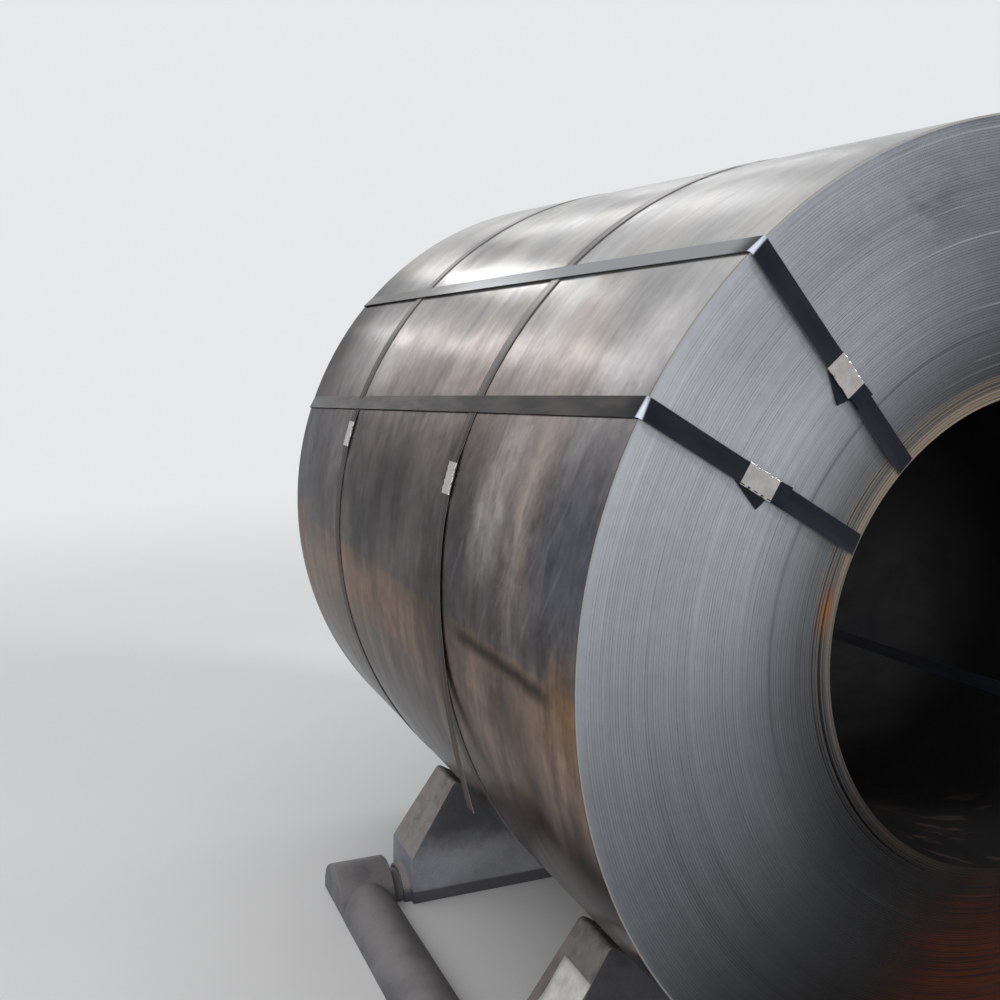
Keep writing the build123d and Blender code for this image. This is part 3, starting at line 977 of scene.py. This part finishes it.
def rubber_paint(start, place):
    """Slate rubber, matt, with painted shade towards the top under the coil and in the recess at the
    foot, brown dust on the faces that look up, and blotchy painted shade on the front blocks."""
    up = facing_up(start)
    _, y, height = place.parts()
    cloud = start.noise(place, 7.0, 5.0, 0.6)
    grain = start.noise(place, 260.0, 3.0)
    blot = start.noise(place, 24.0, 4.0, 0.65)
    colour = start.mix(cloud.step(0.3, 0.7), (0.175, 0.179, 0.200), (0.285, 0.290, 0.315))
    # Painted shade towards the top, where the coil sits close over the block.
    colour = colour.tinted((height + (blot - 0.5) * 0.06).step(0.085, 0.175, 1.06, 0.30))
    colour = start.mix(blot.step(0.60, 0.72) * 0.3, colour, (0.06, 0.061, 0.07))
    # Painted shade in the recess at the foot.
    colour = start.mix(height.step(0.034, 0.026) * 0.75, colour, (0.030, 0.030, 0.038))
    dust = up.step(0.25, 0.6) * (cloud * 0.6 + blot * 0.4).step(0.30, 0.50, 0.45, 0.95)
    dust_colour = start.mix(blot.step(0.4, 0.6), (0.215, 0.190, 0.175), (0.255, 0.228, 0.210))
    colour = start.mix(dust, colour, dust_colour)
    # Painted shade over the front blocks, made blotchy.
    painted_shade_front = y.step(-0.2, -0.35) * (blot * 0.5 + cloud * 0.5).step(0.36, 0.56, 1.0, 0.55)
    colour = colour.tinted(1 - painted_shade_front * 0.66).tinted(grain.step(0.2, 0.8, 0.9, 1.1))
    return colour, cloud.step(0.2, 0.8, 0.6, 0.85), grain + blot, 0.0004


rubber = surface("moulded rubber", rubber_paint)
for end in ("front", "rear"):
    for side in ("left", "right"):
        softened(f"saddle_block_{end}_{side}", 0.005, rubber, "block_rubber")


def paper_paint(start, place):
    """Blank paper, yellowed and smudged."""
    cloud = start.noise(place, 30.0, 5.0, 0.6)
    smudge = start.noise(place, 90.0, 4.0, 0.7)
    colour = start.mix(cloud.step(0.3, 0.7), (0.44, 0.43, 0.41), (0.62, 0.61, 0.59))
    colour = start.mix(smudge.step(0.5, 0.7) * 0.3, colour, (0.30, 0.28, 0.26))
    return colour, cloud.step(0, 1, 0.6, 0.8), smudge, 0.0002


slope_top = Vector((-0.5483, 0, 0.2765))
slope_foot = Vector((-0.6603, 0, 0.108))
paper_down_slope = 0.072
paper_start = -0.496
paper_length, paper_width = 0.100, 0.105
paper_lift = 0.0010
paper_thickness = 0.0003
paper_steps = 8
down_slope = (slope_foot - slope_top).normalized()
off_slope = Vector((down_slope.z, 0, -down_slope.x))
paper_points, paper_faces = [], []
row = paper_steps + 1
for i in range(row):
    for j in range(row):
        ripple = 0.0006 * sin(i * 0.9) * sin(j * 0.7) ** 2
        curl = 0.004 * max(0, i + j - 13) ** 2 / 9
        at = slope_top + down_slope * (paper_down_slope + paper_length * i / paper_steps)
        at = at + off_slope * (paper_lift + ripple + curl)
        paper_points.append((at.x, paper_start + paper_width * j / paper_steps, at.z))
        if i and j:
            k = i * row + j
            paper_faces.append((k - row - 1, k - row, k, k - 1))
paper_mesh = bpy.data.meshes.new("paper")
paper_mesh.from_pydata(paper_points, [], paper_faces)
paper = placed("paper", paper_mesh)
thickness = paper.modifiers.new("thickness", "SOLIDIFY")
thickness.thickness = paper_thickness
paper_mesh = applied(paper)
paper_mesh.shade_smooth()
finished("blank_paper", paper_mesh, [surface("blank paper", paper_paint)], "block_rubber")


# Rack.  Half round bars, flat side down, painted grey and dulled by dust: two cross bars through the
# blocks, and along each side a rail, coped and welded to thicker corner pieces.

def bar_paint(start, place):
    """Grey paint under floor dust, worn and scraped."""
    up = facing_up(start)
    cloud = start.noise(place, 9.0, 5.0, 0.6)
    fine = start.noise(place, 70.0, 4.0, 0.65)
    colour = start.mix(cloud.step(0.35, 0.65), (0.095, 0.093, 0.100), (0.165, 0.160, 0.168))
    colour = start.mix(fine.step(0.55, 0.70) * 0.5, colour, (0.05, 0.049, 0.052))
    colour = start.mix(up.step(0.2, 0.8) * cloud.step(0.3, 0.6, 0.25, 0.7), colour, (0.20, 0.187, 0.182))
    return colour, cloud.step(0.2, 0.8, 0.5, 0.75), fine, 0.0005


dusty_paint = surface("dusty grey paint", bar_paint, metallic=0.1)
for end in ("front", "rear"):
    softened("cross_bar_" + end, 0.002, dusty_paint, "rack_paint")
    for side in ("left", "right"):
        softened(f"rack_corner_{end}_{side}", 0.003, dusty_paint, "rack_paint")
for side in ("left", "right"):
    softened("side_rail_" + side, 0.003, dusty_paint, "rack_paint")

bpy.context.view_layer.update()
